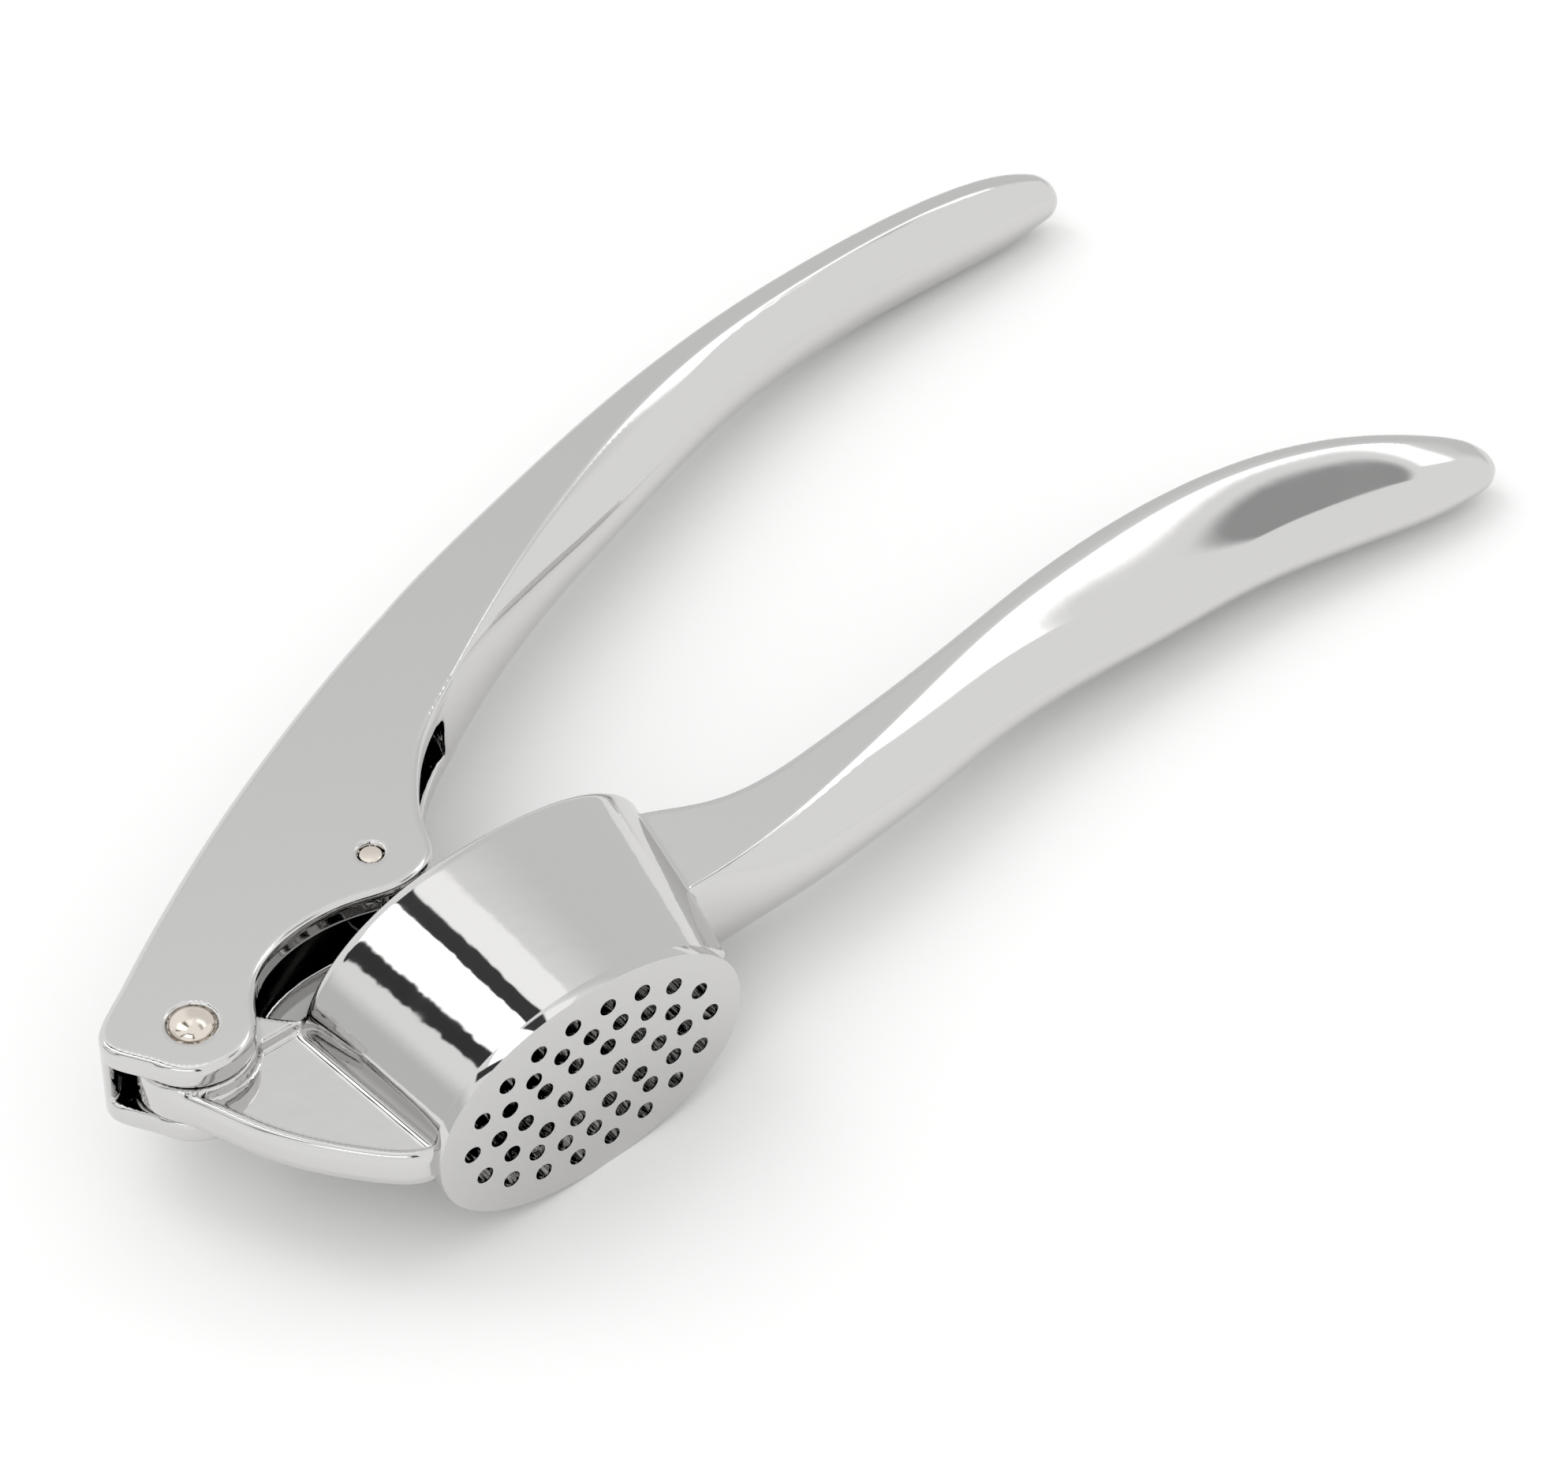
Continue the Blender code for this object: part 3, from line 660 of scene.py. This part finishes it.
def turned(name, x, y, profile):
    """A solid turned about a vertical axis; the profile runs down its outer side as (radius, height)."""
    mesh = bpy.data.meshes.new(name)
    edges = [(i, i + 1) for i in range(len(profile) - 1)]
    mesh.from_pydata([(radius * MM, 0.0, height * MM) for radius, height in profile], edges, [])
    obj = bpy.data.objects.new(name, mesh)
    bpy.context.scene.collection.objects.link(obj)
    screw = obj.modifiers.new("turn", "SCREW")
    screw.axis = "Z"
    screw.angle = 2 * math.pi
    screw.steps = TURN_STEPS
    screw.render_steps = TURN_STEPS
    screw.use_merge_vertices = True
    screw.merge_threshold = MERGE
    baked(obj)
    shape = bmesh.new()
    shape.from_mesh(obj.data)
    bmesh.ops.recalc_face_normals(shape, faces=shape.faces)
    shape.transform(Matrix.Translation((Vector(PIVOT) + Vector((x, y, 0.0))) * MM))
    shape.to_mesh(obj.data)
    shape.free()
    obj.data.shade_smooth()
    obj.data.set_sharp_from_angle(angle=math.radians(TURN_SHARP))
    return obj


def both_ways(half):
    """The upper half of a profile followed by its mirror image."""
    return half + [(radius, -height) for radius, height in reversed(half)]


def rivet():
    """Main rivet: a shank between two domed heads."""
    half = []
    for a in np.linspace(90, 0, 25):
        angle = math.radians(a)
        half.append((RIVET_HEAD_R * math.cos(angle), RIVET_RIM + RIVET_DOME * math.sin(angle)))
    half[0] = (0.0, RIVET_RIM + RIVET_DOME)
    half += [(RIVET_HEAD_R, RIVET_SEAT), (RIVET_R, RIVET_SEAT)]
    return turned("rivet", 0.0, 0.0, both_ways(half))


def pin():
    """Plunger pin: a plain pin with rounded edges."""
    top = LEVER_HALF - PIN_SINK
    half = [(0.0, top)]
    for a in np.linspace(90, 0, 7):
        angle = math.radians(a)
        radius = PIN_R - PIN_ROUND + PIN_ROUND * math.cos(angle)
        half.append((radius, top - PIN_ROUND + PIN_ROUND * math.sin(angle)))
    return turned("pin", PIN_X, PIN_Y, both_ways(half))


# ---------------------------------------------------------------- materials


def new_material(name):
    mat = bpy.data.materials.new(name)
    mat.use_nodes = True
    return mat, mat.node_tree, mat.node_tree.nodes["Principled BSDF"]


def chrome(name, colour, rough, wave_scale, wave_depth, calm_x=None):
    """Bright metal, nearly a mirror, faintly smudged and slightly wavy, almost flat beyond calm_x if given."""
    mat, tree, shader = new_material(name)
    shader.inputs["Metallic"].default_value = 1.0
    shader.inputs["Base Color"].default_value = (*colour, 1.0)
    coords = tree.nodes.new("ShaderNodeTexCoord")
    smudge = tree.nodes.new("ShaderNodeTexNoise")
    smudge.inputs["Scale"].default_value = SMUDGE_SCALE
    smudge.inputs["Detail"].default_value = 6.0
    smudge.inputs["Roughness"].default_value = 0.65
    spread = tree.nodes.new("ShaderNodeMapRange")
    spread.inputs["From Min"].default_value = SMUDGE_RANGE[0]
    spread.inputs["From Max"].default_value = SMUDGE_RANGE[1]
    spread.inputs["To Min"].default_value = rough[0]
    spread.inputs["To Max"].default_value = rough[1]
    wave = tree.nodes.new("ShaderNodeTexNoise")
    wave.inputs["Scale"].default_value = wave_scale
    wave.inputs["Detail"].default_value = 1.5
    bump = tree.nodes.new("ShaderNodeBump")
    bump.inputs["Strength"].default_value = wave_depth
    if calm_x is not None:
        parts = tree.nodes.new("ShaderNodeSeparateXYZ")
        fade = tree.nodes.new("ShaderNodeMapRange")
        fade.inputs["From Min"].default_value = (calm_x - WAVE_FADE) * MM
        fade.inputs["From Max"].default_value = calm_x * MM
        fade.inputs["To Min"].default_value = wave_depth
        fade.inputs["To Max"].default_value = SMOOTH_WAVE
        tree.links.new(coords.outputs["Object"], parts.inputs[0])
        tree.links.new(parts.outputs["X"], fade.inputs["Value"])
        tree.links.new(fade.outputs["Result"], bump.inputs["Strength"])
    bump.inputs["Distance"].default_value = BUMP_HEIGHT
    tree.links.new(coords.outputs["Object"], smudge.inputs["Vector"])
    tree.links.new(coords.outputs["Object"], wave.inputs["Vector"])
    tree.links.new(smudge.outputs["Fac"], spread.inputs["Value"])
    tree.links.new(spread.outputs["Result"], shader.inputs["Roughness"])
    tree.links.new(wave.outputs["Fac"], bump.inputs["Height"])
    tree.links.new(bump.outputs["Normal"], shader.inputs["Normal"])
    return mat


# ---------------------------------------------------------------- studio


def floor():
    """A pale floor, tilted because the flange is deeper than the handles."""
    mesh = bpy.data.meshes.new("floor")
    half = FLOOR_HALF
    corners = []
    for x, y in ((-half, -half), (half, -half), (half, half), (-half, half)):
        corners.append((x, y, (x - FLOOR_TOUCH_X) * FLOOR_SLOPE - FLOOR_GAP))
    mesh.from_pydata(corners, [], [(0, 1, 2, 3)])
    plane = bpy.data.objects.new("floor", mesh)
    bpy.context.scene.collection.objects.link(plane)
    mat, _, shader = new_material("paper")
    shader.inputs["Base Color"].default_value = (0.93, 0.93, 0.925, 1.0)
    shader.inputs["Roughness"].default_value = 0.9
    shader.inputs["Specular IOR Level"].default_value = 0.1
    mesh.materials.append(mat)


def area_light(name, place, target, width, height, power):
    """A soft light that the metal doesn't mirror."""
    data = bpy.data.lights.new(name, "AREA")
    data.shape = "RECTANGLE"
    data.size = width
    data.size_y = height
    data.energy = power
    lamp = bpy.data.objects.new(name, data)
    bpy.context.scene.collection.objects.link(lamp)
    lamp.location = place
    lamp.rotation_euler = (Vector(target) - Vector(place)).to_track_quat("-Z", "Y").to_euler()
    lamp.visible_glossy = False


# patches of the surroundings: azimuth, elevation, half-sizes and softness in degrees, brightness
PATCHES = (
    (32.0, 22.0, 34.0, 26.0, 14.0, 0.80),
    (158.0, 6.0, 24.0, 20.0, 16.0, 0.70),
    (66.0, 60.0, 11.0, 8.0, 3.0, 1.30),
    (85.5, 62.0, 8.0, 10.0, 2.0, 0.06),
    (111.0, 60.0, 17.5, 14.0, 2.0, 2.2),
    (134.5, 47.0, 5.0, 10.0, 1.6, 0.05),
    (17.0, 54.2, 25.0, 3.4, 2.2, 2.0),
    (-2.0, 64.5, 26.0, 3.6, 2.4, 0.42),
    (-150.0, 58.0, 22.0, 10.0, 3.0, 2.0),
    (-150.0, 72.0, 30.0, 3.0, 1.5, 0.12),
    (-118.0, 50.0, 5.0, 22.0, 2.0, 0.10),
    (178.0, 46.0, 4.0, 20.0, 2.0, 0.10),
)
SURROUND = 1.03


def math_node(tree, operation, a, b=None):
    node = tree.nodes.new("ShaderNodeMath")
    node.operation = operation
    for socket, value in zip(node.inputs, (a, b)):
        if value is None:
            continue
        if isinstance(value, (int, float)):
            socket.default_value = value
        else:
            tree.links.new(value, socket)
    return node.outputs[0]


def wrapped(tree, angle):
    """The angle brought between minus and plus half a turn."""
    node = tree.nodes.new("ShaderNodeMath")
    node.operation = "WRAP"
    tree.links.new(angle, node.inputs[0])
    node.inputs[1].default_value = math.pi
    node.inputs[2].default_value = -math.pi
    return node.outputs[0]


def inside(tree, far, size, soft):
    """1 where far is under size, falling to 0 over a width of soft, all in radians."""
    edge = tree.nodes.new("ShaderNodeMapRange")
    edge.interpolation_type = "SMOOTHSTEP"
    edge.inputs["From Min"].default_value = size + 0.5 * soft
    edge.inputs["From Max"].default_value = size - 0.5 * soft
    tree.links.new(far, edge.inputs["Value"])
    return edge.outputs["Result"]


def studio():
    """Surroundings as the chrome sees them: a pale room with soft boxes and dark gaps between them."""
    world = bpy.data.worlds.new("studio")
    world.use_nodes = True
    tree = world.node_tree
    coords = tree.nodes.new("ShaderNodeTexCoord")
    parts = tree.nodes.new("ShaderNodeSeparateXYZ")
    tree.links.new(coords.outputs["Generated"], parts.inputs[0])
    rise = math_node(tree, "ARCSINE", parts.outputs["Z"])
    turn = math_node(tree, "ARCTAN2", parts.outputs["Y"], parts.outputs["X"])
    level = None
    for azimuth, elevation, wide, high, soft, bright in PATCHES:
        off = math_node(tree, "SUBTRACT", turn, math.radians(azimuth))
        off = math_node(tree, "ABSOLUTE", wrapped(tree, off))
        side = inside(tree, off, math.radians(wide), math.radians(soft))
        off = math_node(tree, "ABSOLUTE", math_node(tree, "SUBTRACT", rise, math.radians(elevation)))
        mask = math_node(tree, "MULTIPLY", side, inside(tree, off, math.radians(high), math.radians(soft)))
        mix = tree.nodes.new("ShaderNodeMix")
        mix.data_type = "FLOAT"
        tree.links.new(mask, mix.inputs[0])
        if level is None:
            mix.inputs[2].default_value = SURROUND
        else:
            tree.links.new(level, mix.inputs[2])
        mix.inputs[3].default_value = bright
        level = mix.outputs[0]
    tree.links.new(level, tree.nodes["Background"].inputs["Color"])
    bpy.context.scene.world = world
    area_light("key", (-0.5, 0.6, 1.1), (0.0, 0.0, 0.0), 1.2, 1.2, 3.0)


def camera():
    data = bpy.data.cameras.new("camera")
    data.lens = CAMERA_LENS
    data.sensor_width = CAMERA_SENSOR
    data.clip_start = 0.01
    obj = bpy.data.objects.new("camera", data)
    bpy.context.scene.collection.objects.link(obj)
    turn = Matrix((CAMERA_RIGHT, CAMERA_UP, CAMERA_BACK)).transposed().to_4x4()
    obj.matrix_world = Matrix.Translation((Vector(PIVOT) + Vector(CAMERA_FROM_PIVOT)) * MM) @ turn
    bpy.context.scene.camera = obj


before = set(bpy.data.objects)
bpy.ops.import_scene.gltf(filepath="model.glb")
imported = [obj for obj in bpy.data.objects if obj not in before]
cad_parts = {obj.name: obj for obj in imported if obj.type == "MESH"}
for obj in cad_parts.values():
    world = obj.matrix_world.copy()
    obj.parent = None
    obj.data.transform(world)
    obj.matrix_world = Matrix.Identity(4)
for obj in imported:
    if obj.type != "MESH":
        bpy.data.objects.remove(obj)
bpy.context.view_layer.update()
lower_finish = chrome("hopper_chrome", CHROME, CHROME_ROUGH, WAVE_SCALE, WAVE_DEPTH, PIVOT[0] + WAVE_END_X)
lever = chrome("lever_chrome", CHROME, CHROME_ROUGH, WAVE_SCALE, SMOOTH_WAVE)
steel = chrome("rivet_steel", STEEL, STEEL_ROUGH, STEEL_SCALE, STEEL_DEPTH)
for name, node, body, slot_name, field in (
    ("lower_casting", "lower_lever", "lower", "lower_chrome", lower_field),
    ("upper_casting", "upper_lever", "upper", "upper_chrome", upper_field),
    ("plunger_casting", "plunger", "plunger", "plunger_chrome", plunger_field),
):
    piece = skin(name, node, field())
    piece.data.materials.clear()
    piece.data.materials.append(lower_finish if body == "lower" else lever)
    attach(piece, body)
    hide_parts(node)
sieve_plate = sieve()
sieve_plate.data.materials.clear()
sieve_plate.data.materials.append(lever)
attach(sieve_plate, "lower")
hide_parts("lower_lever")
for piece, node, slot_name in ((rivet(), "main_rivet", "rivet_steel"), (pin(), "plunger_pin", "pin_steel")):
    piece.data.materials.append(steel)
    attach(piece, "upper")
    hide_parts(node)
floor()
studio()
camera()
bpy.context.scene.view_settings.view_transform = "Standard"
